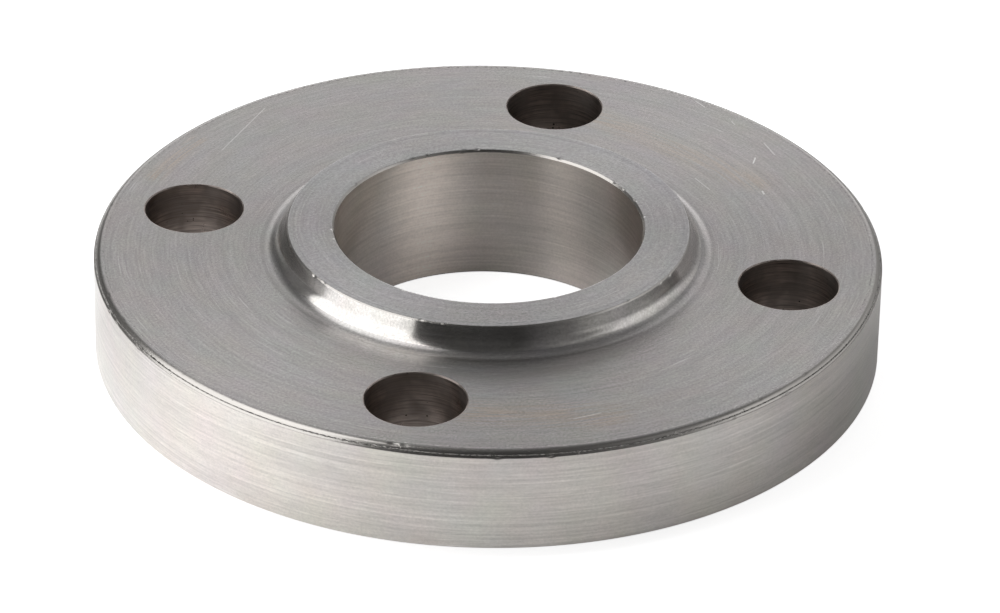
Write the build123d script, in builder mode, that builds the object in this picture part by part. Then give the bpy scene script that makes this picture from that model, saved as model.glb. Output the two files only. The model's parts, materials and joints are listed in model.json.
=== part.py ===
from build123d import *
from math import radians, tan
import os

# Slip on pipe flange with a raised gasket face and a low hub, turned and drilled from one steel forging.
# The gasket face lies on Z = 0 and the hub points along +Z. The pipe runs along the Z axis.

# Bore, in mm. The pipe slips in from the hub end and is welded at both ends
bore_diameter = 49.7
bore_hub_chamfer = 0.4
bore_face_chamfer = 0.4

# Hub
hub_wall = 7.65
hub_rise = 4.0
hub_draft = 3.0  # degrees
hub_root_radius = 3.4
hub_edge_break = 0.3

# Raised gasket face on the mating side
raised_face_overhang = 4.0  # how far it reaches past the hub's outside, seen along the axis
raised_face_height = 2.0
raised_face_edge_break = 0.3
raised_face_root_radius = 0.5

# Bolt holes, half way between the X and Y axes so that they straddle the pipe's centrelines
bolt_hole_count = 4
bolt_hole_diameter = 15.9
bolt_hole_edge_break = 0.3
hub_to_bolt_hole = 8.75  # room for the nut beside the hub

# Flange plate
bolt_hole_to_rim = 6.35
rim_height = 17.2
rim_back_chamfer = 0.9
rim_front_chamfer = 0.5

# Radii and heights that follow from these
bore_radius = bore_diameter / 2
hub_radius = bore_radius + hub_wall
hub_base_radius = hub_radius + hub_rise * tan(radians(hub_draft))
raised_face_radius = hub_radius + raised_face_overhang
bolt_hole_radius = bolt_hole_diameter / 2
bolt_circle_radius = hub_radius + hub_to_bolt_hole + bolt_hole_radius
rim_radius = bolt_circle_radius + bolt_hole_radius + bolt_hole_to_rim
back_face_height = raised_face_height + rim_height
hub_face_height = back_face_height + hub_rise

# Rounded inner corners, kept within the step that they run up
step_share = 0.9
hub_root = min(hub_root_radius, step_share * hub_rise)
raised_face_root = min(raised_face_root_radius, step_share * (raised_face_height - raised_face_edge_break))

same_place = 1e-4


def round_edges(part, radius, height):
    """The part's circular edges of this radius, in the plane at this height."""
    circles = part.edges().filter_by(GeomType.CIRCLE)
    level = circles.filter_by_position(Axis.Z, height - same_place, height + same_place)
    return level.filter_by(lambda edge: abs(edge.radius - radius) < same_place)


with BuildPart() as flange:
    # Half section through the axis, turned all the way round
    with BuildSketch(Plane.XZ):
        with BuildLine():
            Polyline(
                (bore_radius, 0),
                (raised_face_radius, 0),
                (raised_face_radius, raised_face_height),
                (rim_radius, raised_face_height),
                (rim_radius, back_face_height),
                (hub_base_radius, back_face_height),
                (hub_radius, hub_face_height),
                (bore_radius, hub_face_height),
                close=True,
            )
        make_face()
    revolve(axis=Axis.Z)

    # Bolt holes, drilled through the plate
    half_pitch = 180 / bolt_hole_count
    with Locations((0, 0, back_face_height)):
        with PolarLocations(bolt_circle_radius, bolt_hole_count, start_angle=half_pitch):
            Hole(bolt_hole_radius)

    # Rounded inner corners
    fillet(round_edges(flange, hub_base_radius, back_face_height), hub_root)
    fillet(round_edges(flange, raised_face_radius, raised_face_height), raised_face_root)

    # Edges broken by the turning tool and the drill
    chamfer(round_edges(flange, bore_radius, hub_face_height), bore_hub_chamfer)
    chamfer(round_edges(flange, bore_radius, 0), bore_face_chamfer)
    chamfer(round_edges(flange, hub_radius, hub_face_height), hub_edge_break)
    chamfer(round_edges(flange, raised_face_radius, 0), raised_face_edge_break)
    chamfer(round_edges(flange, rim_radius, back_face_height), rim_back_chamfer)
    chamfer(round_edges(flange, rim_radius, raised_face_height), rim_front_chamfer)
    for plate_face in (raised_face_height, back_face_height):
        chamfer(round_edges(flange, bolt_hole_radius, plate_face), bolt_hole_edge_break)

flange.part.label = "flange"

os.makedirs("parts", exist_ok=True)
export_step(flange.part, "parts/flange.step")
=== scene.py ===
import json
import math

import bmesh
import bpy
from mathutils import Matrix, Vector, noise


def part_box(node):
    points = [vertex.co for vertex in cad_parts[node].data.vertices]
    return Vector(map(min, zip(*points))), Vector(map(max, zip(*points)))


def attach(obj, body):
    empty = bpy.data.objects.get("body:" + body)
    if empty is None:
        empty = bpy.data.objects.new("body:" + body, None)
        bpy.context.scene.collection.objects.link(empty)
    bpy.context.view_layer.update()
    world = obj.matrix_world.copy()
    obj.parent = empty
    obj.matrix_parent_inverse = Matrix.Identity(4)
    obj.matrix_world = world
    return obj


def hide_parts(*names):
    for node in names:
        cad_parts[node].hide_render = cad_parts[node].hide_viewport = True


MM = 0.001
DEGREE = math.pi / 180

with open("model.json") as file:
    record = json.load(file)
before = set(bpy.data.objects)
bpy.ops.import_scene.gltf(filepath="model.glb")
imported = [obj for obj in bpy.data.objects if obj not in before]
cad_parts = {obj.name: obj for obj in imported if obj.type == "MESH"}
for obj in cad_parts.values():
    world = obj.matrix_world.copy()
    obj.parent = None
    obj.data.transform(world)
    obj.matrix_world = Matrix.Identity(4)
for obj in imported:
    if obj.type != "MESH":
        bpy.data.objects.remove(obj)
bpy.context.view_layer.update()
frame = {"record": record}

# Sizes taken from the frame, in mm
mounts = {mount["name"]: mount for mount in frame["record"]["mounts"]}
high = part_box("flange")[1]
RIM_RADIUS = high.x / MM
HUB_FACE = high.z / MM
BORE_RADIUS = mounts["bore"]["dims"]["r_mm"]
HOLE_COUNT = mounts["bolt_holes"]["dims"]["count"]
HOLE_RADIUS = mounts["bolt_holes"]["dims"]["hole_r_mm"]
HOLE_CIRCLE = mounts["bolt_holes"]["dims"]["pcd_mm"] / 2
BACK_FACE = mounts["nut_seat"]["pos_m"][2] / MM

# Turned section, in mm. The hub's wall leans more than the solid's, and most edges are broken less
RAISED_FACE_RADIUS = 36.5
RAISED_FACE_HEIGHT = 2.0
RAISED_FACE_BREAK = 0.3
RAISED_FACE_ROOT = 0.5
HUB_RADIUS = 32.5
HUB_BASE_RADIUS = 33.9
HUB_ROOT = 3.2
HUB_BREAK = 0.2
BORE_CHAMFER = 0.33
RIM_BACK_CHAMFER = 0.9
RIM_FRONT_CHAMFER = 0.3
HOLE_BREAK = 0.14
EDGE_ROUND = 0.08  # radius of a broken edge's corners
RIM_INNER_ROUND = 1.2  # radii of the rim's back chamfer, where it meets the face and the rim
RIM_OUTER_ROUND = 0.35

# Gasket face: concentric grooves left by a round-nosed tool
GROOVE_PITCH = 0.8
GROOVE_DEPTH = 0.04

# Mesh density
STATIONS = 240
PATCH_HALF_WIDTH = 10  # stations either side of a bolt hole
PATCH_HALF_DEPTH = 11.0  # mm either side of the bolt circle
PATCH_ROWS = 24
PATCH_RINGS = (0.4, 0.8, 1.0)  # rings of faces inside a patch, as shares of the way to its hole
ARC_STEP = 15 * DEGREE
FINE_ARC_STEP = 7.5 * DEGREE
WIDE_ROUND = 0.3  # from this radius on, an arc takes the finer step
RIM_FINENESS = 5  # points along the worn rim edge for each station
HUB_FINENESS = 3
EDGE_MARGINS = (0.4, 0.15)  # mm from a worn edge to the extra rows beside it
PLAIN_MARGINS = (0.3,)
RIM_MARGIN = 0.8  # mm of plain face between the rim's edges and the rings of the plate
EDGE_ROOM = 0.4  # most of a short line that the rows beside one of its ends take up
FLAT_FACES_LEAD = 100  # how far large faces decide the shading beside small ones

# Wear of the edges, in mm
WEAR_REACH = 0.4  # how near an edge a row lies to wear with it
WEAR_APART = 9.0  # keeps one edge's wear unlike the next one's
RAGGED_PER_MM = 1.7
RAGGED_DEPTH = 0.008
DENTS_PER_MM = 0.9
DENT_THRESHOLD = 0.5
DENT_DEPTH = 0.5
DENT_EXTENT = 3  # half widths, past which a dent no longer shows

# Long tool lines of a turned face: repeats per mm across and along them, detail and strength
FINE_LINES = (3.2, 0.03, 1.0, 0.11)
LONG_LINES = [FINE_LINES, (1.4, 0.012, 0.0, 0.03), (0.3, 0.006, 1.0, 0.02)]
# Short strokes and broad patches that lie along the lines, in the same terms
SHORT_MARKS = [(3.0, 0.25, 1.0, 0.12), (0.35, 0.2, 2.0, 0.05)]
HEIGHT_SHARE = 0.63  # how far height shifts the lines, so that walls have them too
WALL_LINES_FINER = 1.5
WALL_LINES_MORE = 1.9  # the long lines show more on walls
HUB_FACE_LINES = 0.8  # how much the lines show on single finishes
HUB_LINES = 1.6
BORE_LINES = 0.9
BORE_DEPTH = 0.3  # how deep they are in the bore, against other faces
LINE_HEIGHT = 0.004  # mm
LINES_LOW = 1.2  # the heights of the long lines, summed, mostly lie between these
LINES_HIGH = 1.8
ROUGHNESS_SPREAD = 0.008
# Grain: repeats per mm, detail and strength
GRAIN = (2.6, 1.0, 0.27)
WALL_GRAIN = 0.5  # share of it that walls have
# Faint tints
HUE_ACROSS = 0.15  # per mm
HUE_ALONG = 0.1
HUE_DETAIL = 2.0
HUE_SPREAD = 0.05
# Thin pale scratches, along the lines and more of them in some regions
SCRATCH_ACROSS = 4.5  # per mm
SCRATCH_ALONG = 0.12
SCRATCH_DETAIL = 0.0
SCRATCH_STARTS = 0.70
SCRATCH_FULL = 0.82
REGIONS_PER_MM = 0.06
REGION_DETAIL = 1.0
REGION_STARTS = 0.45
REGION_FULL = 0.65
SCRATCHES_LEAST = 0.15
SCRATCHES = 0.35
RIM_SCRATCHES = 0.15
BORE_SCRATCHES = 0.2
# How much of each pattern's strength its finer detail keeps
EVEN_DETAIL = 0.5
STRONG_DETAIL = 0.6
HARSH_DETAIL = 0.7

# Colour and roughness of the finishes
FACED_STEEL = (0.482, 0.463, 0.453)
HUB_FACE_STEEL = (0.480, 0.467, 0.465)
RIM_STEEL = (0.480, 0.455, 0.431)
HUB_STEEL = (0.600, 0.575, 0.550)
BORED_STEEL = (0.600, 0.560, 0.526)
EDGE_STEEL = (0.478, 0.458, 0.435)
DRILLED_STEEL = (0.41, 0.355, 0.325)
PALE_STEEL = (0.85, 0.835, 0.82)
SATIN = 0.25
HUB_SHINE = 0.17
BORE_SATIN = 0.3
DRILL_SATIN = 0.35

# Stretch of the reflections on turned, bored, and broken or drilled metal
TURNED_STRETCH = 0.8
BORED_STRETCH = 0.9
WEAK_STRETCH = 0.5
QUARTER_TURN = 0.25  # lays the stretch across the tool lines

# Texture of a broken edge
BRUISES_PER_MM = 0.9
BRUISE_DETAIL = 2.0
BRUISE_STARTS = 0.66
BRUISE_FULL = 0.8
BRUISE_DEPTH = 0.03  # mm
BRUISE_ROUGHER = 0.1
EDGE_TONES = (0.86, 1.14)  # darkest and lightest, as shares of the colour
EDGE_DETAIL = 1.0

# Texture of a drilled wall: rings, a dark film and pits, which grow low in the hole as painted shade
DRILL_ACROSS = 4.0  # per mm
DRILL_ALONG = 0.12
DRILL_DETAIL = 3.0
DRILL_HEIGHT = 0.02  # mm
DRILL_TONES = (0.45, 1.6)
DRILL_RANGE = (0.3, 0.7)  # values of a pattern over which its effect grows
FILM_PER_MM = 0.25
FILM_DETAIL = 2.0
FILM_RANGE = (0.4, 0.6)
FILM_TONE = 0.55
FILM_SHARE = 0.7
FILM_ROUGHNESS_SPREAD = 0.08
PITS_PER_MM = 1.1
PIT_SHARE = 0.4
PIT_RADIUS = 0.3
# The pits are larger low in the hole: painted shade there, on top of real pits
PITS_LOW = 9.0  # mm from the gasket face, where most pits end
PITS_HIGH = 14.0
PITS_ABOVE = 0.3  # size of the pits above that
PIT_AND_SHADE_COLOUR = (0.015, 0.012, 0.01)

# Darker rings on the flat faces: radius, half width and strength. The first is a faint ring on the hub
# face; the second, round the foot of the hub and of the raised face, is painted shade in the corner
RINGS_AND_FOOT_SHADE = [(31.4, 0.3, 0.10), (36.4, 0.6, 0.12)]

# Single dents, by edge: angle in degrees, depth and half width in mm
RIM_OUTER_EDGE = (RIM_RADIUS, BACK_FACE - RIM_BACK_CHAMFER)
RIM_INNER_EDGE = (RIM_RADIUS - RIM_BACK_CHAMFER, BACK_FACE)
HUB_EDGE = (HUB_RADIUS, HUB_FACE - HUB_BREAK)
BORE_EDGE = (BORE_RADIUS + BORE_CHAMFER, HUB_FACE)
SAME_EDGE = 0.1  # how near, in mm, a dent's edge lies to the edge that has it
DENTS = [
    (RIM_INNER_EDGE, -135.1, 0.22, 0.7),
    (RIM_INNER_EDGE, -133.6, 0.14, 0.4),
    (RIM_INNER_EDGE, -112.6, 0.16, 0.4),
    (RIM_INNER_EDGE, -70.2, 0.12, 0.5),
    (RIM_INNER_EDGE, 164.0, 0.16, 0.5),
    (RIM_INNER_EDGE, 171.5, 0.1, 0.6),
    (RIM_INNER_EDGE, 41.0, 0.15, 0.6),
    (RIM_INNER_EDGE, 88.0, 0.12, 0.4),
    (RIM_OUTER_EDGE, -120.6, 0.12, 0.5),
    (RIM_OUTER_EDGE, -113.2, 0.16, 0.4),
    (RIM_OUTER_EDGE, -75.0, 0.15, 0.6),
    (RIM_OUTER_EDGE, -18.0, 0.14, 0.5),
    (RIM_OUTER_EDGE, 60.0, 0.16, 0.5),
    (RIM_OUTER_EDGE, 167.5, 0.18, 0.6),
    (RIM_OUTER_EDGE, 178.6, 0.14, 0.5),
    (HUB_EDGE, 161.5, 0.1, 0.3),
    (HUB_EDGE, 180.0, 0.12, 0.3),
    (HUB_EDGE, -60.0, 0.1, 0.4),
    (BORE_EDGE, -154.2, 0.12, 0.3),
    (BORE_EDGE, 4.0, 0.14, 0.3),
    (BORE_EDGE, -3.5, 0.12, 0.3),
    (BORE_EDGE, -12.0, 0.14, 0.3),
    (BORE_EDGE, -24.0, 0.12, 0.2),
    (BORE_EDGE, 30.0, 0.14, 0.3),
    (BORE_EDGE, 68.0, 0.1, 0.2),
]

# Marks on the back face: both ends in mm, half width in mm and strength
MARKS = [
    ((-21.1, 49.7), (-7.6, 58.9), 0.14, 0.5),
    ((56.5, 24.4), (56.6, 21.8), 0.12, 0.8),
    ((57.7, 15.3), (57.5, 14.1), 0.12, 0.6),
    ((58.1, 6.3), (57.3, 1.9), 0.12, 0.7),
    ((53.9, 2.7), (52.6, 1.4), 0.18, 1.0),
    ((48.5, -7.3), (48.2, -8.2), 0.22, 0.9),
    ((41.4, 2.0), (41.3, -2.5), 0.12, 0.5),
    ((-17.0, -52.0), (-12.5, -52.6), 0.12, 0.5),
]
# Rubbed patches on the faces, where the metal shows a warmer colour: both ends, half width and strength
RUBBED = [
    ((-35.0, 47.5), (-23.0, 54.5), 2.5, 1.0),
    ((-29.0, -43.0), (-12.0, -54.0), 6.0, 1.0),
    ((38.0, 30.0), (49.0, -4.0), 5.0, 0.8),
]
# Broad pale upright stripes on the side of the bore that faces the camera, painted highlights in place of
# its bright reflections: both ends with height, half width and strength
BORE_PAINTED_HIGHLIGHTS = [
    ((3.3, 24.6, 0), (3.3, 24.6, 24), 10.0, 1.0),
    ((21.9, 11.7, -6), (21.9, 11.7, 24), 7.0, 0.35),
]
RUBBED_STEEL = (0.53, 0.463, 0.408)
# Pale colour of the bore's painted highlights
BORE_HIGHLIGHT_STEEL = (0.96, 0.88, 0.82)
RUBBED_LINES = (0.35, 0.6)  # a face shows its patches on the lines that stand out
MARK_SOFTNESS = 0.6
RUBBED_AND_HIGHLIGHT_SOFTNESS = 1.0

# The photograph's camera, in degrees and mm
CAMERA_AZIMUTH = -32.553
CAMERA_ELEVATION = 30.233
CAMERA_ROLL = 1.091
CAMERA_DISTANCE = 904.9
CAMERA_RIGHT = 2.167
CAMERA_UP = 5.111
CAMERA_LENS = 200.17
SENSOR_WIDTH = 36.0

# Studio, in metres and degrees. Azimuths count from the camera, positive to its right
FLOOR_HALF_WIDTH = 3.0
FLOOR_FADE = 100  # mm either side of the middle
PAPER_WHITE = 0.88
# The glow that reflections see on the floor is painted light on the paper, stronger on the lamp's side
FLOOR_GLOW_LEFT = 1.1
FLOOR_GLOW_RIGHT = 0.15
FLOOR_GLOW_SEEN = 0.8  # as the camera sees it
FLOOR_SHADE = 0.2  # share of the glow left under the object, a painted shadow
FLOOR_SHADE_SHIFT = 20  # mm away from the lamp
FLOOR_SHADE_INNER = 50  # mm from the middle of the shade, where it starts to fade
FLOOR_SHADE_OUTER = 88
# How the painted glow changes round the object, by azimuth
FLOOR_AROUND = [
    (-180, 0.1), (-165, 0.3), (-150, 0.6), (-130, 0.6), (-114, 0.5), (-105, 0.87), (-93, 0.73),
    (-80, 0.93), (-67, 1.2), (-53, 1.35), (-40, 1.28), (-27, 1.05), (-13, 0.9), (0, 0.9),
    (27, 1.15), (40, 1.6), (53, 2.05), (67, 1.47), (80, 1.45), (93, 1.1), (105, 1.7),
    (118, 1.0), (131, 1.0), (150, 1.0), (165, 0.6),
]
TABLE_INNER = 120  # mm from the middle, where the paper starts to look darker to the metal
TABLE_OUTER = 190
TABLE_PAST = 0.25
STUDIO_RADIUS = 1.5
SOFTBOX_AZIMUTH = -73.0
SOFTBOX_ELEVATION = 20.2
SOFTBOX_LEAN_AZIMUTH = 152.6
SOFTBOX_LEAN_ELEVATION = 57.4
SOFTBOX_DISTANCE = 0.75
SOFTBOX_BOTTOM = -0.35
SOFTBOX_TOP = 1.34
SOFTBOX_REAR = -0.365
SOFTBOX_FRONT = 0.44
SOFTBOX_RADIANCE = 1.7
WALL_SEGMENTS = 48
WALL_RINGS = 24
# Brightness of the room by azimuth, in bands from the floor up, and the height angles over which they blend
WALL_BANDS = [
    [
        (-180, 0.3), (-168, 0.5), (-150, 0.4), (-130, 0.17), (-110, 0.2), (-40, 0.06), (-25, 0.02),
        (18, 0.02), (44, 0.12), (62, 0.28), (84, 0.34), (138, 0.31), (157, 0.46), (168, 0.1),
    ],
    [
        (-180, 1.9), (-168, 1.3), (-157, 0.07), (-110, 0.2), (-40, 0.06), (-25, 0.045), (18, 0.045),
        (44, 0.17), (62, 0.63), (84, 0.87), (108, 0.86), (138, 0.5), (157, 0.3), (168, 1.47),
    ],
    [
        (-180, 0.28), (-168, 0.8), (-157, 0.45), (-140, 0.12), (-110, 0.2), (-40, 0.09), (-25, 0.06),
        (18, 0.06), (44, 0.17), (62, 0.2), (84, 1.1), (108, 0.6), (138, 0.25), (157, 0.8), (168, 0.65),
    ],
    [
        (-180, 0.25), (-165, 0.4), (-145, 0.3), (-110, 0.4), (-50, 0.12), (-25, 0.05), (18, 0.05),
        (44, 0.15), (70, 0.31), (100, 0.2), (140, 0.2),
    ],
    [(-180, 0.16), (-60, 0.1), (-25, 0.07), (18, 0.07), (60, 0.1)],
]
WALL_BLENDS = [(6, 14), (20, 30), (44, 52), (60, 72)]


def wear_depth(turn, edge, number):
    """How far an edge is worn away at this angle: a ragged line with a few small dents."""
    radius = edge.x
    place = Vector((radius * math.cos(turn), radius * math.sin(turn), WEAR_APART * number))
    depth = RAGGED_DEPTH * abs(noise.noise(place * RAGGED_PER_MM))
    depth += DENT_DEPTH * max(0.0, noise.noise(place * DENTS_PER_MM) - DENT_THRESHOLD)
    for dented_edge, angle, deepest, half_width in DENTS:
        if (Vector(dented_edge) - edge).length < SAME_EDGE:
            away = radius * abs(math.remainder(turn - angle * DEGREE, 2 * math.pi))
            if away < DENT_EXTENT * half_width:
                depth += deepest * math.exp(-(away / half_width) ** 2)
    return depth


class Row:
    """One ring of the outline, no wider than the rim.

    It keeps the finish of the band after it and the edges whose wear moves it.
    """

    def __init__(self, place, finish, fineness=1):
        self.radius, self.height = min(place[0], RIM_RADIUS), place[1]
        self.finish = finish
        self.fineness = fineness
        self.pushes = []

    def places(self):
        count = STATIONS * self.fineness
        places = []
        for k in range(count):
            turn = 2 * math.pi * k / count
            radius, height = self.radius, self.height
            for number, edge, push in self.pushes:
                depth = wear_depth(turn, edge, number)
                radius += push.x * depth
                height += push.y * depth
            places.append((radius * math.cos(turn), radius * math.sin(turn), height))
        return places


def arc_places(here, arrive, leave, radius):
    """Places along the arc that rounds a corner between two lines."""
    turn = arrive.angle_signed(leave)
    start = here - arrive.normalized() * (radius * math.tan(abs(turn) / 2))
    side = arrive.normalized().orthogonal()
    if side.dot(leave) < 0:
        side = -side
    centre = start + side * radius
    steps = math.ceil(abs(turn) / (ARC_STEP if radius < WIDE_ROUND else FINE_ARC_STEP))
    turns = [Matrix.Rotation(-turn * step / steps, 2) for step in range(steps + 1)]
    return [centre + rotation @ (start - centre) for rotation in turns]


def margins_beside(line, margins):
    """Distances from a rounded edge to the extra rows on the line beside it, less on a short line."""
    room = min(1, EDGE_ROOM * line.length / margins[0])
    return [margin * room for margin in margins]


def outline_rows(corners, first_edge, fineness):
    """Rows along straight lines with rounded corners, and extra rows beside the corners that stand out.

    Each corner is (r, z, corner radius, finish of the line that follows), with the metal on the left.
    """
    rows = [Row(corners[0][:2], corners[0][3])]
    edges = []
    for before, corner, after in zip(corners, corners[1:], corners[2:]):
        here = Vector(corner[:2])
        radius, finish = corner[2:]
        if radius == 0:
            rows.append(Row(here, finish))
            continue
        arrive, leave = here - Vector(before[:2]), Vector(after[:2]) - here
        outer = arrive.angle_signed(leave) < 0
        points = fineness if outer else 1
        margins = EDGE_MARGINS if points > 1 else PLAIN_MARGINS
        arc = arc_places(here, arrive, leave, radius)
        if outer:
            inward = (leave.normalized() - arrive.normalized()).normalized()
            edges.append((first_edge + len(edges), here, inward))
            for margin in margins_beside(arrive, margins):
                rows.append(Row(arc[0] - arrive.normalized() * margin, before[3], points))
        for step, place in enumerate(arc):
            rows.append(Row(place, before[3] if step < (len(arc) - 1) / 2 else finish, points))
        if outer:
            for margin in reversed(margins_beside(leave, margins)):
                rows.append(Row(arc[-1] + leave.normalized() * margin, finish, points))
    rows.append(Row(corners[-1][:2], corners[-1][3]))
    for row in rows:
        for number, edge, inward in edges:
            near = 1 - (Vector((row.radius, row.height)) - edge).length / WEAR_REACH
            if row.fineness > 1 and near > 0:
                row.pushes.append((number, edge, inward * near ** 2))
    return rows


class Shell:
    """Points and faces of a closed mesh, made loop by loop."""

    def __init__(self):
        self.points = []
        self.faces = []
        self.finishes = []
        self.edge_count = 0

    def loop(self, places):
        start = len(self.points)
        self.points.extend(places)
        return list(range(start, len(self.points)))

    def ring(self, radius, height):
        return self.loop(Row((radius, height), "").places())

    def polygon(self, corners, finish):
        self.faces.append(tuple(corners))
        self.finishes.append(finish)

    def band(self, first, second, finish, skip=()):
        """Faces between two loops, of which one may have several points for each of the other's.

        The places in skip stay open.
        """
        count = min(len(first), len(second))
        step, other_step = len(first) // count, len(second) // count
        for k in range(count):
            if k not in skip:
                ahead = [first[(k * step + i) % len(first)] for i in range(step + 1)]
                back = [second[(k * other_step + i) % len(second)] for i in range(other_step, -1, -1)]
                self.polygon(ahead + back, finish)

    def flat_band(self, outside, inside, up, skip=()):
        """A faced band that looks up or down."""
        if up:
            self.band(outside, inside, "faced", skip)
        else:
            self.band(inside, outside, "faced", skip)

    def follow(self, first, rows, loops):
        """Bands from a first loop through the others, each with the finish of the row before it."""
        for row, following in zip(rows, loops):
            self.band(first, following, row.finish)
            first = following
        return first

    def run(self, first, corners, fineness=1, last=None):
        """Bands along an outline, from a loop that exists to one that may."""
        rows = outline_rows(corners, self.edge_count, fineness)
        self.edge_count += len(corners)
        loops = [self.loop(row.places()) for row in rows[1:-1]]
        loops.append(last or self.loop(rows[-1].places()))
        return self.follow(first, rows, loops)


def hole_angle(hole):
    """The bolt holes straddle the X and Y axes."""
    return 2 * math.pi * (hole + 0.5) / HOLE_COUNT


def plate_face(shell, inner_ring, outer_ring, height, up):
    """A flat side of the plate between two rings, with a patch round each bolt hole. Returns the holes."""
    offsets = [PATCH_HALF_DEPTH * (1 - 2 * row / PATCH_ROWS) for row in range(PATCH_ROWS + 1)]
    rings = [outer_ring] + [shell.ring(HOLE_CIRCLE + offset, height) for offset in offsets] + [inner_ring]
    centres = [round(hole_angle(hole) / (2 * math.pi) * STATIONS) for hole in range(HOLE_COUNT)]
    patched = {(c + k) % STATIONS for c in centres for k in range(-PATCH_HALF_WIDTH, PATCH_HALF_WIDTH)}
    for row, (outside, inside) in enumerate(zip(rings, rings[1:])):
        shell.flat_band(outside, inside, up, patched if 0 < row <= PATCH_ROWS else ())
    holes = []
    for hole, centre in enumerate(centres):
        left, right = centre - PATCH_HALF_WIDTH, centre + PATCH_HALF_WIDTH
        border = [rings[1][k % STATIONS] for k in range(left, right)]
        border += [rings[row][right % STATIONS] for row in range(1, PATCH_ROWS + 1)]
        border += [rings[-2][k % STATIONS] for k in range(right, left, -1)]
        border += [rings[row][left % STATIONS] for row in range(PATCH_ROWS + 1, 1, -1)]
        holes.append(hole_in_patch(shell, hole, border, height, up))
    return holes


def hole_in_patch(shell, hole, border, height, up):
    """Rings of faces from a patch's border to its hole. Returns the hole's edge, middle and directions."""
    turn = hole_angle(hole)
    middle = Vector((HOLE_CIRCLE * math.cos(turn), HOLE_CIRCLE * math.sin(turn)))
    ways = [Vector(shell.points[k][:2]) - middle for k in border]
    edge_radius = HOLE_RADIUS + HOLE_BREAK + EDGE_ROUND
    outside = border
    for share in PATCH_RINGS:
        places = [way.lerp(way.normalized() * edge_radius, share) + middle for way in ways]
        inside = shell.loop([(place.x, place.y, height) for place in places])
        shell.flat_band(outside, inside, up)
        outside = inside
    return outside, middle, [way.normalized() for way in ways]


def hole_wall(shell, top, bottom):
    """The wall of one bolt hole, from its edge on the back face down to its edge on the front face."""
    upper_loop, middle, ways = top
    break_radius = HOLE_RADIUS + HOLE_BREAK
    outline = [
        (break_radius + EDGE_ROUND, BACK_FACE, 0, "drilled"),
        (break_radius, BACK_FACE, EDGE_ROUND, "drilled"),
        (HOLE_RADIUS, BACK_FACE - HOLE_BREAK, EDGE_ROUND, "drilled"),
        (HOLE_RADIUS, RAISED_FACE_HEIGHT + HOLE_BREAK, EDGE_ROUND, "drilled"),
        (break_radius, RAISED_FACE_HEIGHT, EDGE_ROUND, "drilled"),
        (break_radius + EDGE_ROUND, RAISED_FACE_HEIGHT, 0, "drilled"),
    ]
    rows = outline_rows(outline, 0, 1)
    loops = []
    for row in rows[1:-1]:
        places = [middle + way * row.radius for way in ways]
        loops.append(shell.loop([(place.x, place.y, row.height) for place in places]))
    shell.follow(upper_loop, rows, [*loops, bottom[0]])


def gasket_grooves():
    """Corners along the raised face, out from the bore, that rise and fall with the grooves."""
    start = BORE_RADIUS + BORE_CHAMFER
    end = RAISED_FACE_RADIUS - RAISED_FACE_BREAK
    count = int((end - start) / GROOVE_PITCH)
    margin = (end - start - count * GROOVE_PITCH) / 2
    corners = []
    for groove in range(count):
        crest = start + margin + groove * GROOVE_PITCH
        corners.append((crest, 0, 0, "gasket"))
        corners.append((crest + GROOVE_PITCH / 2, GROOVE_DEPTH, 0, "gasket"))
    corners.append((end - margin, 0, 0, "gasket"))
    return corners


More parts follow.
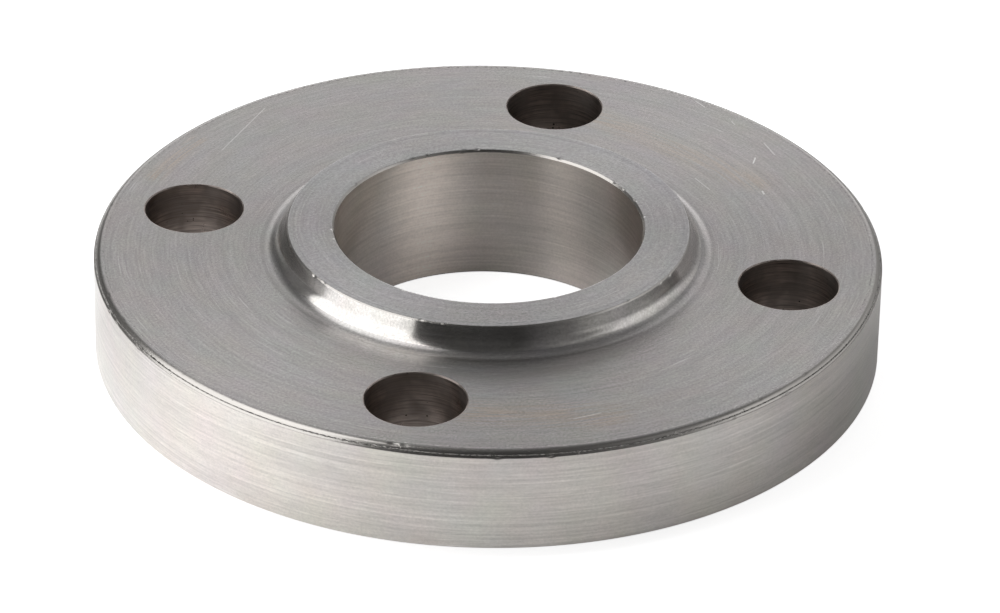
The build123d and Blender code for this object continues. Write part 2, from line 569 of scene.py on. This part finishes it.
def flange_shell():
    shell = Shell()
    mid_bore = HUB_FACE / 2
    bore_ring = shell.ring(BORE_RADIUS, mid_bore)
    front_inner = RAISED_FACE_RADIUS + RAISED_FACE_ROOT
    front_outer = RIM_RADIUS - RIM_FRONT_CHAMFER - RIM_MARGIN
    back_outer = RIM_RADIUS - RIM_BACK_CHAMFER - RIM_MARGIN
    back_inner = HUB_BASE_RADIUS + HUB_ROOT

    underside = [
        (BORE_RADIUS, mid_bore, 0, "bored"),
        (BORE_RADIUS, BORE_CHAMFER, EDGE_ROUND, "edge"),
        (BORE_RADIUS + BORE_CHAMFER, 0, EDGE_ROUND, "gasket"),
        *gasket_grooves(),
        (RAISED_FACE_RADIUS - RAISED_FACE_BREAK, 0, EDGE_ROUND, "edge"),
        (RAISED_FACE_RADIUS, RAISED_FACE_BREAK, EDGE_ROUND, "turned"),
        (RAISED_FACE_RADIUS, RAISED_FACE_HEIGHT, RAISED_FACE_ROOT, "faced"),
        (front_inner + EDGE_ROUND, RAISED_FACE_HEIGHT, 0, "faced"),
    ]
    front_inner_ring = shell.run(bore_ring, underside)
    front_outer_ring = shell.ring(front_outer, RAISED_FACE_HEIGHT)
    lower_holes = plate_face(shell, front_inner_ring, front_outer_ring, RAISED_FACE_HEIGHT, up=False)

    mid_rim = (RAISED_FACE_HEIGHT + BACK_FACE) / 2
    lower_rim = [
        (front_outer, RAISED_FACE_HEIGHT, 0, "faced"),
        (RIM_RADIUS - RIM_FRONT_CHAMFER, RAISED_FACE_HEIGHT, EDGE_ROUND, "edge"),
        (RIM_RADIUS, RAISED_FACE_HEIGHT + RIM_FRONT_CHAMFER, EDGE_ROUND, "turned"),
        (RIM_RADIUS, mid_rim, 0, "turned"),
    ]
    upper_rim = [
        (RIM_RADIUS, mid_rim, 0, "turned"),
        (RIM_RADIUS, BACK_FACE - RIM_BACK_CHAMFER, RIM_OUTER_ROUND, "edge"),
        (RIM_RADIUS - RIM_BACK_CHAMFER, BACK_FACE, RIM_INNER_ROUND, "faced"),
        (back_outer, BACK_FACE, 0, "faced"),
    ]
    back_outer_ring = shell.run(shell.run(front_outer_ring, lower_rim), upper_rim, RIM_FINENESS)
    back_inner_ring = shell.ring(back_inner, BACK_FACE)
    upper_holes = plate_face(shell, back_inner_ring, back_outer_ring, BACK_FACE, up=True)

    hub = [
        (back_inner, BACK_FACE, 0, "faced"),
        (HUB_BASE_RADIUS, BACK_FACE, HUB_ROOT, "hub"),
        (HUB_RADIUS, HUB_FACE - HUB_BREAK, EDGE_ROUND, "edge"),
        (HUB_RADIUS - HUB_BREAK, HUB_FACE, EDGE_ROUND, "hub_face"),
        (BORE_RADIUS + BORE_CHAMFER, HUB_FACE, EDGE_ROUND, "edge"),
        (BORE_RADIUS, HUB_FACE - BORE_CHAMFER, EDGE_ROUND, "bored"),
        (BORE_RADIUS, mid_bore, 0, "bored"),
    ]
    shell.run(back_inner_ring, hub, HUB_FINENESS, last=bore_ring)
    for top, bottom in zip(upper_holes, lower_holes):
        hole_wall(shell, top, bottom)
    return shell


def new_material(name):
    material = bpy.data.materials.new(name)
    material.use_nodes = True
    tree = material.node_tree
    tree.nodes.clear()
    return material, tree


def add(tree, kind, **values):
    """A node with these settings and input values."""
    node = tree.nodes.new(kind)
    for name, value in values.items():
        if name in node.inputs:
            node.inputs[name].default_value = value
        else:
            setattr(node, name, value)
    return node


def math_node(tree, operation, first, second=None, clamp=False):
    """Arithmetic on outputs or plain numbers."""
    node = add(tree, "ShaderNodeMath", operation=operation, use_clamp=clamp)
    for slot, value in enumerate((first, second)):
        if isinstance(value, (int, float)):
            node.inputs[slot].default_value = value
        elif value is not None:
            tree.links.new(value, node.inputs[slot])
    return node.outputs[0]


def product(tree, first, *others):
    """Several values multiplied, each an output or a plain number."""
    for other in others:
        first = math_node(tree, "MULTIPLY", first, other)
    return first


def vector_node(tree, operation, first, second=None, output="Vector"):
    """Vector arithmetic on outputs or plain numbers."""
    node = add(tree, "ShaderNodeVectorMath", operation=operation)
    for slot, value in enumerate((first, second)):
        if isinstance(value, (tuple, Vector)):
            node.inputs[slot].default_value = value
        elif value is not None:
            tree.links.new(value, node.inputs[slot])
    return node.outputs[output]


def scaled(tree, vector, factor):
    """A vector times a number, each an output or plain."""
    node = add(tree, "ShaderNodeVectorMath", operation="SCALE")
    for value, name in ((vector, "Vector"), (factor, "Scale")):
        if isinstance(value, (int, float, Vector)):
            node.inputs[name].default_value = value
        else:
            tree.links.new(value, node.inputs[name])
    return node.outputs["Vector"]


def place_on(tree):
    """A point's place on its own object, in metres."""
    return add(tree, "ShaderNodeTexCoord").outputs["Object"]


def place_xyz(tree):
    """The three parts of that place."""
    split = add(tree, "ShaderNodeSeparateXYZ")
    tree.links.new(place_on(tree), split.inputs[0])
    return split.outputs


def from_axis(tree):
    """How far a point is from the bore's axis, in metres."""
    level = vector_node(tree, "MULTIPLY", place_on(tree), (1, 1, 0))
    return vector_node(tree, "LENGTH", level, output="Value")


def along_lines(tree, across_per_mm, along_per_mm):
    """Coordinates that run quickly across the tool lines and slowly along them."""
    x, y, z = place_xyz(tree)
    across = math_node(tree, "ADD", from_axis(tree), math_node(tree, "MULTIPLY", z, HEIGHT_SHARE))
    vector = add(tree, "ShaderNodeCombineXYZ")
    tree.links.new(math_node(tree, "MULTIPLY", across, across_per_mm / MM), vector.inputs[0])
    tree.links.new(math_node(tree, "MULTIPLY", x, along_per_mm / MM), vector.inputs[1])
    tree.links.new(math_node(tree, "MULTIPLY", y, along_per_mm / MM), vector.inputs[2])
    return vector.outputs[0]


def noise_at(tree, vector, detail, roughness=EVEN_DETAIL, output="Fac"):
    """A random pattern, with values round a half."""
    texture = add(tree, "ShaderNodeTexNoise", Scale=1.0, Detail=detail, Roughness=roughness)
    tree.links.new(vector, texture.inputs["Vector"])
    return texture.outputs[output]


def between(tree, value, low, high, to_low=0.0, to_high=1.0, smooth=False):
    """A value that goes from one level to another as the first one goes from low to high."""
    node = add(tree, "ShaderNodeMapRange", interpolation_type="SMOOTHSTEP" if smooth else "LINEAR")
    for name, number in (("From Min", low), ("From Max", high), ("To Min", to_low), ("To Max", to_high)):
        node.inputs[name].default_value = number
    tree.links.new(value, node.inputs["Value"])
    return node.outputs[0]


def mixed(tree, first, second, share):
    """A colour between two, each of them an output or plain numbers."""
    node = add(tree, "ShaderNodeMix", data_type="RGBA")
    for value, name in ((first, "A"), (second, "B")):
        if isinstance(value, tuple):
            node.inputs[name].default_value = (*value, 1)
        else:
            tree.links.new(value, node.inputs[name])
    tree.links.new(share, node.inputs["Factor"])
    return node.outputs["Result"]


def beside(tree, start, end, half_width, softness):
    """1 on a line between two places, falling to 0 at its half width.

    A place with no height is on the back face.
    """
    start, end = (Vector((*place, BACK_FACE)[:3]) * MM for place in (start, end))
    way = end - start
    offset = vector_node(tree, "SUBTRACT", place_on(tree), start)
    along = vector_node(tree, "DOT_PRODUCT", offset, way / way.length_squared, output="Value")
    nearest = scaled(tree, way, math_node(tree, "MULTIPLY", along, 1.0, clamp=True))
    away = vector_node(tree, "DISTANCE", offset, nearest, output="Value")
    full = half_width * (1 - softness)
    return between(tree, away, full * MM, half_width * MM, 1, 0, smooth=True)


def metal(name, stretch, drilled=False):
    """A metal shader with its tool lines round the bore's axis, or round a drilled hole."""
    material, tree = new_material(name)
    out = add(tree, "ShaderNodeOutputMaterial")
    shader = add(tree, "ShaderNodeBsdfPrincipled")
    shader.inputs["Metallic"].default_value = 1.0
    shader.inputs["Anisotropic"].default_value = stretch
    shader.inputs["Anisotropic Rotation"].default_value = QUARTER_TURN
    tree.links.new(shader.outputs[0], out.inputs["Surface"])
    if drilled:
        normal = add(tree, "ShaderNodeNewGeometry").outputs["Normal"]
        around = vector_node(tree, "CROSS_PRODUCT", normal, (0, 0, 1))
    else:
        around = add(tree, "ShaderNodeTangent", direction_type="RADIAL", axis="Z").outputs[0]
    tree.links.new(around, shader.inputs["Tangent"])
    return material, tree, shader


def bump_from(tree, shader, heights, depth):
    """Raises the surface where a pattern is high, by a depth in mm."""
    bump = add(tree, "ShaderNodeBump", Strength=1.0, Distance=depth * MM)
    tree.links.new(heights, bump.inputs["Height"])
    tree.links.new(bump.outputs[0], shader.inputs["Normal"])


def varied(tree, pattern, strength, tone):
    """A tone made lighter and darker by a pattern."""
    return product(tree, between(tree, pattern, 0, 1, 1 - strength, 1 + strength), tone)


def tool_marks(tree, lines, wall):
    """The metal's tone by its lines, strokes, patches and grain, and the height of its long lines."""
    finer = WALL_LINES_FINER if wall else 1.0
    tone = 1.0
    heights = 0.0
    for marks, long in ((LONG_LINES, True), (SHORT_MARKS, False)):
        for across, along, detail, strength in marks:
            strength *= lines * (WALL_LINES_MORE if wall and long else 1)
            pattern = noise_at(tree, along_lines(tree, across * finer, along), detail, STRONG_DETAIL)
            tone = varied(tree, pattern, strength, tone)
            if long:
                heights = math_node(tree, "ADD", pattern, heights)
    per_mm, detail, strength = GRAIN
    grain = noise_at(tree, scaled(tree, place_on(tree), per_mm / MM), detail, STRONG_DETAIL)
    return varied(tree, grain, strength * (WALL_GRAIN if wall else 1), tone), heights


def toned(colour, tone):
    """A colour made darker or lighter."""
    return tuple(tone * c for c in colour)


def tinted(tree, colour):
    """A colour that changes faintly from place to place."""
    lines = along_lines(tree, HUE_ACROSS, HUE_ALONG)
    hue = noise_at(tree, lines, HUE_DETAIL, STRONG_DETAIL, output="Color")
    shift = vector_node(tree, "MULTIPLY", hue, toned(colour, 2 * HUE_SPREAD))
    return vector_node(tree, "ADD", shift, toned(colour, 1 - HUE_SPREAD))


def strongest(tree, lines, softness, least):
    """The strongest of several lines at each place, or a least value."""
    for start, end, half_width, strength in lines:
        line = product(tree, beside(tree, start, end, half_width, softness), strength)
        least = math_node(tree, "MAXIMUM", line, least)
    return least


def ringed_and_foot_shaded(tree, tone):
    """A tone made darker on the rings of the flat faces: a faint ring on the hub face, and painted shade
    round the foot of the hub and of the raised face.
    """
    for radius, half_width, strength in RINGS_AND_FOOT_SHADE:
        off = math_node(tree, "ABSOLUTE", math_node(tree, "SUBTRACT", from_axis(tree), radius * MM))
        dark = between(tree, off, 0, half_width * MM, 1 - strength, 1, smooth=True)
        tone = product(tree, tone, dark)
    return tone


def scratched(tree, fine, scratches):
    """How much thin scratches show at each place."""
    scratch = between(tree, fine, SCRATCH_STARTS, SCRATCH_FULL, 0, scratches, smooth=True)
    region = noise_at(tree, scaled(tree, place_on(tree), REGIONS_PER_MM / MM), REGION_DETAIL)
    return product(tree, scratch, between(tree, region, REGION_STARTS, REGION_FULL, SCRATCHES_LEAST, 1))


def turned_steel(name, colour, roughness=SATIN, stretch=TURNED_STRETCH, lines=1.0, depth=1.0,
                 scratches=SCRATCHES, wall=False, marked=False, rubbed_and_highlights=(), rubbed_and_highlight_colour=RUBBED_STEEL):
    """Turned stainless steel: tool lines, short strokes, grain, faint tints and thin pale scratches.

    Lines and depth scale how much the tool lines show and how deep they are.
    """
    material, tree, shader = metal(name, stretch)
    tone, heights = tool_marks(tree, lines, wall)
    fine = noise_at(tree, along_lines(tree, SCRATCH_ACROSS, SCRATCH_ALONG), SCRATCH_DETAIL)
    base = tinted(tree, colour)
    # Rubbed patches on the faces; on the bore, pale stripes that are painted highlights
    if rubbed_and_highlights:
        rubbed_and_highlit = strongest(tree, rubbed_and_highlights, RUBBED_AND_HIGHLIGHT_SOFTNESS, 0)
        if not wall:
            rubbed_and_highlit = product(tree, rubbed_and_highlit, between(tree, fine, *RUBBED_LINES))
        base = mixed(tree, base, rubbed_and_highlight_colour, rubbed_and_highlit)
    # Darker rings, one of them painted shade round the hub's foot
    base = scaled(tree, base, ringed_and_foot_shaded(tree, tone) if marked else tone)
    scratch = scratched(tree, fine, scratches)
    if marked:
        scratch = strongest(tree, MARKS, MARK_SOFTNESS, scratch)
    tree.links.new(mixed(tree, base, PALE_STEEL, scratch), shader.inputs["Base Color"])
    spread = ROUGHNESS_SPREAD * depth
    rough = between(tree, heights, LINES_LOW, LINES_HIGH, roughness - spread, roughness + spread)
    tree.links.new(rough, shader.inputs["Roughness"])
    bump_from(tree, shader, heights, LINE_HEIGHT * depth)
    return material


def edge_steel(name, colour, roughness):
    """A broken edge, bruised by handling."""
    material, tree, shader = metal(name, WEAK_STRETCH)
    place = scaled(tree, place_on(tree), BRUISES_PER_MM / MM)
    bruises = noise_at(tree, place, BRUISE_DETAIL, STRONG_DETAIL)
    bruised = between(tree, bruises, BRUISE_STARTS, BRUISE_FULL, smooth=True)
    lines = noise_at(tree, along_lines(tree, *FINE_LINES[:2]), EDGE_DETAIL)
    dark, light = (toned(colour, tone) for tone in EDGE_TONES)
    tree.links.new(mixed(tree, dark, light, lines), shader.inputs["Base Color"])
    rough = between(tree, bruised, 0, 1, roughness, roughness + BRUISE_ROUGHER)
    tree.links.new(rough, shader.inputs["Roughness"])
    bump_from(tree, shader, bruised, BRUISE_DEPTH)
    return material


def pitted_and_shaded(tree):
    """1 inside small pits, which shrink towards the back face: real pits, made larger low in the hole as
    painted shade.
    """
    pits = add(tree, "ShaderNodeTexVoronoi", Scale=PITS_PER_MM / MM)
    tree.links.new(place_on(tree), pits.inputs["Vector"])
    chosen = add(tree, "ShaderNodeSeparateColor")
    tree.links.new(pits.outputs["Color"], chosen.inputs[0])
    size = between(tree, chosen.outputs[0], PIT_SHARE, 1.0, 0.0, PIT_RADIUS)
    low = between(tree, place_xyz(tree)["Z"], PITS_LOW * MM, PITS_HIGH * MM, 1.0, PITS_ABOVE)
    return math_node(tree, "LESS_THAN", pits.outputs["Distance"], product(tree, size, low))


def drilled_steel(name, colour, roughness):
    """The wall of a drilled hole: rough rings, a dark film and small pits, larger low in the hole as
    painted shade.
    """
    material, tree, shader = metal(name, WEAK_STRETCH, drilled=True)
    per_metre = (DRILL_ALONG / MM, DRILL_ALONG / MM, DRILL_ACROSS / MM)
    round_and_up = vector_node(tree, "MULTIPLY", place_on(tree), per_metre)
    rings = noise_at(tree, round_and_up, DRILL_DETAIL, HARSH_DETAIL)
    film = noise_at(tree, scaled(tree, place_on(tree), FILM_PER_MM / MM), FILM_DETAIL)
    dark, light = (toned(colour, tone) for tone in DRILL_TONES)
    base = mixed(tree, dark, light, between(tree, rings, *DRILL_RANGE))
    base = mixed(tree, base, toned(colour, FILM_TONE), between(tree, film, *FILM_RANGE, 0, FILM_SHARE))
    base = mixed(tree, base, PIT_AND_SHADE_COLOUR, pitted_and_shaded(tree))
    tree.links.new(base, shader.inputs["Base Color"])
    smooth, rough = roughness - FILM_ROUGHNESS_SPREAD, roughness + FILM_ROUGHNESS_SPREAD
    tree.links.new(between(tree, film, *DRILL_RANGE, smooth, rough), shader.inputs["Roughness"])
    bump_from(tree, shader, rings, DRILL_HEIGHT)
    return material


def make_finishes():
    """The metal's finishes, by the names that the faces of the mesh use."""
    return {
        "faced": turned_steel("faced_steel", FACED_STEEL, marked=True, rubbed_and_highlights=RUBBED),
        "hub_face": turned_steel("hub_face_steel", HUB_FACE_STEEL, lines=HUB_FACE_LINES, marked=True),
        "turned": turned_steel("rim_steel", RIM_STEEL, scratches=RIM_SCRATCHES, wall=True),
        "hub": turned_steel("hub_steel", HUB_STEEL, HUB_SHINE, lines=HUB_LINES),
        # The bore's pale stripes are painted highlights
        "bored": turned_steel(
            "bored_steel", BORED_STEEL, BORE_SATIN, BORED_STRETCH, lines=BORE_LINES, depth=BORE_DEPTH,
            scratches=BORE_SCRATCHES, wall=True, rubbed_and_highlights=BORE_PAINTED_HIGHLIGHTS, rubbed_and_highlight_colour=BORE_HIGHLIGHT_STEEL,
        ),
        "edge": edge_steel("edge_steel", EDGE_STEEL, SATIN),
        "drilled": drilled_steel("drilled_steel", DRILLED_STEEL, DRILL_SATIN),
        "gasket": turned_steel("gasket_face_steel", FACED_STEEL),
    }


def make_flange():
    shell = flange_shell()
    mesh = bpy.data.meshes.new("turned_flange")
    mesh.from_pydata([tuple(c * MM for c in point) for point in shell.points], [], shell.faces)
    finishes = make_finishes()
    names = list(finishes)
    for name in names:
        mesh.materials.append(finishes[name])
    for face, finish in zip(mesh.polygons, shell.finishes):
        face.material_index = names.index(finish)
        face.use_smooth = True
    mesh.validate()
    flange = bpy.data.objects.new("turned_flange", mesh)
    bpy.context.scene.collection.objects.link(flange)
    normals = flange.modifiers.new("weighted_normals", "WEIGHTED_NORMAL")
    normals.weight = FLAT_FACES_LEAD
    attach(flange, "root")
    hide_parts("flange")


def camera_axes():
    """The camera's right, up and backward directions."""
    azimuth, elevation, roll = (a * DEGREE for a in (CAMERA_AZIMUTH, CAMERA_ELEVATION, CAMERA_ROLL))
    level = Vector((math.sin(azimuth), -math.cos(azimuth), 0))
    backward = level * math.cos(elevation) + Vector((0, 0, math.sin(elevation)))
    level_right = Vector((math.cos(azimuth), math.sin(azimuth), 0))
    level_up = backward.cross(level_right)
    right = level_right * math.cos(roll) + level_up * math.sin(roll)
    up = level_up * math.cos(roll) - level_right * math.sin(roll)
    return right, up, backward


def make_camera():
    right, up, backward = camera_axes()
    camera = bpy.data.objects.new("camera", bpy.data.cameras.new("camera"))
    bpy.context.scene.collection.objects.link(camera)
    camera.data.lens = CAMERA_LENS
    camera.data.sensor_width = SENSOR_WIDTH
    place = backward * CAMERA_DISTANCE + right * CAMERA_RIGHT + up * CAMERA_UP
    place += Vector((0, 0, RAISED_FACE_HEIGHT))
    turn = Matrix((right, up, backward)).transposed().to_4x4()
    camera.matrix_world = Matrix.Translation(place * MM) @ turn
    bpy.context.scene.camera = camera


def add_stage(name, mesh, material):
    """A part of the set, turned to face the camera."""
    piece = bpy.data.objects.new(name, mesh)
    bpy.context.scene.collection.objects.link(piece)
    mesh.materials.append(material)
    piece.rotation_euler.z = CAMERA_AZIMUTH * DEGREE
    return piece


def grey(tree, level):
    """A colour from one number."""
    colour = add(tree, "ShaderNodeCombineColor")
    for channel in colour.inputs:
        tree.links.new(level, channel)
    return colour.outputs[0]


def round_the_set(tree):
    """0 and 1 behind the set, 0.25 on the camera's left, 0.5 at the camera and 0.75 on its right."""
    x, y, _ = place_xyz(tree)
    turns = math_node(tree, "DIVIDE", math_node(tree, "ARCTAN2", x, y), -2 * math.pi)
    return math_node(tree, "FRACT", math_node(tree, "ADD", turns, 1.0))


def level_by_azimuth(tree, around, levels):
    """Brightness by azimuth, straight from each level to the next."""
    curve = add(tree, "ShaderNodeFloatCurve")
    points = curve.mapping.curves[0].points
    top = max(level for _, level in levels)
    stops = [(azimuth / 360 + 0.5, level / top) for azimuth, level in levels]
    stops.append((1.0, stops[0][1]))
    while len(points) < len(stops):
        points.new(*stops[0])
    for point, stop in zip(points, stops):
        point.location = stop
        point.handle_type = "VECTOR"
    curve.mapping.update()
    tree.links.new(around, curve.inputs["Value"])
    return product(tree, curve.outputs[0], top)


def make_floor():
    """White paper, as the camera and the metal see it. To the metal it glows with painted light, brighter
    on the side of the lamp, with a painted shadow round the object.
    """
    half = FLOOR_HALF_WIDTH
    mesh = bpy.data.meshes.new("floor")
    corners = [(-half, -half, 0), (half, -half, 0), (half, half, 0), (-half, half, 0)]
    mesh.from_pydata(corners, [], [(0, 1, 2, 3)])
    material, tree = new_material("floor_paper")
    material.cycles.emission_sampling = "NONE"
    links = tree.links
    out = add(tree, "ShaderNodeOutputMaterial")
    both = add(tree, "ShaderNodeAddShader")
    paper = add(tree, "ShaderNodeBsdfDiffuse")
    glow = add(tree, "ShaderNodeEmission")
    links.new(paper.outputs[0], both.inputs[0])
    links.new(glow.outputs[0], both.inputs[1])
    links.new(both.outputs[0], out.inputs["Surface"])
    path = add(tree, "ShaderNodeLightPath").outputs

    left, right = -FLOOR_FADE * MM, FLOOR_FADE * MM
    # Painted light: the glow is brighter towards the lamp and changes round the object
    level = between(tree, place_xyz(tree)["X"], left, right, FLOOR_GLOW_LEFT, FLOOR_GLOW_RIGHT)
    level = product(tree, level, level_by_azimuth(tree, round_the_set(tree), FLOOR_AROUND))
    # Painted shadow of the object on the glow, shifted away from the lamp
    off = vector_node(tree, "DISTANCE", place_on(tree), (FLOOR_SHADE_SHIFT * MM, 0, 0), output="Value")
    shade = between(tree, off, FLOOR_SHADE_INNER * MM, FLOOR_SHADE_OUTER * MM, FLOOR_SHADE, 1, smooth=True)
    away = vector_node(tree, "LENGTH", place_on(tree), output="Value")
    table = between(tree, away, TABLE_INNER * MM, TABLE_OUTER * MM, 1, TABLE_PAST, smooth=True)

    white = math_node(tree, "MAXIMUM", table, path["Is Camera Ray"])
    links.new(grey(tree, product(tree, white, PAPER_WHITE)), paper.inputs["Color"])
    mirrored = math_node(tree, "MAXIMUM", path["Is Glossy Ray"], path["Is Transmission Ray"])
    mirrored = product(tree, level, shade, table, mirrored)
    seen = product(tree, path["Is Camera Ray"], FLOOR_GLOW_SEEN)
    links.new(math_node(tree, "MAXIMUM", mirrored, seen), glow.inputs["Strength"])
    add_stage("floor", mesh, material)


def direction(azimuth, elevation):
    """A direction by its angle from the camera's side, positive to the camera's right, and its height."""
    turn = (CAMERA_AZIMUTH + azimuth) * DEGREE
    rise = elevation * DEGREE
    return Vector((math.sin(turn) * math.cos(rise), -math.cos(turn) * math.cos(rise), math.sin(rise)))


def make_softbox():
    """A tall soft lamp on the camera's left that leans over the object."""
    facing = direction(SOFTBOX_AZIMUTH, SOFTBOX_ELEVATION)
    lean = direction(SOFTBOX_LEAN_AZIMUTH, SOFTBOX_LEAN_ELEVATION)
    along = (lean - facing * lean.dot(facing)).normalized()
    across = along.cross(facing)
    turn = Matrix((across, along, facing)).transposed().to_4x4()
    data = bpy.data.lights.new("softbox", "AREA")
    data.shape = "RECTANGLE"
    data.size = SOFTBOX_FRONT - SOFTBOX_REAR
    data.size_y = SOFTBOX_TOP - SOFTBOX_BOTTOM
    data.energy = SOFTBOX_RADIANCE * math.pi * data.size * data.size_y
    lamp = bpy.data.objects.new("softbox", data)
    bpy.context.scene.collection.objects.link(lamp)
    centre = facing * SOFTBOX_DISTANCE
    centre += across * (SOFTBOX_REAR + SOFTBOX_FRONT) / 2 + along * (SOFTBOX_TOP + SOFTBOX_BOTTOM) / 2
    lamp.matrix_world = Matrix.Translation(centre) @ turn
    lamp.visible_camera = False


def make_world():
    world = bpy.data.worlds.new("studio")
    bpy.context.scene.world = world
    world.use_nodes = True
    tree = world.node_tree
    tree.nodes.clear()
    out = add(tree, "ShaderNodeOutputWorld")
    white = add(tree, "ShaderNodeBackground", Strength=1.0)
    tree.links.new(white.outputs[0], out.inputs["Surface"])


def rise_to(tree, start, full, below, above):
    """Blends from one value to another as the height angle goes from start to full, in degrees."""
    start, full = (math.sin(angle * DEGREE) * STUDIO_RADIUS for angle in (start, full))
    share = between(tree, place_xyz(tree)["Z"], start, full, smooth=True)
    mix = add(tree, "ShaderNodeMix", data_type="FLOAT")
    tree.links.new(share, mix.inputs["Factor"])
    tree.links.new(below, mix.inputs["A"])
    tree.links.new(above, mix.inputs["B"])
    return mix.outputs["Result"]


def make_studio_walls():
    """The room round the set, which glows grey on one side and is dark at the camera; only the metal
    reflects it.
    """
    form = bmesh.new()
    bmesh.ops.create_uvsphere(form, u_segments=WALL_SEGMENTS, v_segments=WALL_RINGS, radius=STUDIO_RADIUS)
    bmesh.ops.reverse_faces(form, faces=form.faces)
    mesh = bpy.data.meshes.new("studio_walls")
    form.to_mesh(mesh)
    form.free()
    material, tree = new_material("studio_wall_paint")
    out = add(tree, "ShaderNodeOutputMaterial")
    glow = add(tree, "ShaderNodeEmission")
    tree.links.new(glow.outputs[0], out.inputs["Surface"])
    around = round_the_set(tree)
    level = level_by_azimuth(tree, around, WALL_BANDS[0])
    for (start, full), levels in zip(WALL_BLENDS, WALL_BANDS[1:]):
        level = rise_to(tree, start, full, level, level_by_azimuth(tree, around, levels))
    tree.links.new(level, glow.inputs["Strength"])
    walls = add_stage("studio_walls", mesh, material)
    walls.visible_camera = False


make_flange()
make_camera()
make_floor()
make_studio_walls()
make_softbox()
make_world()
bpy.context.scene.view_settings.view_transform = "Standard"
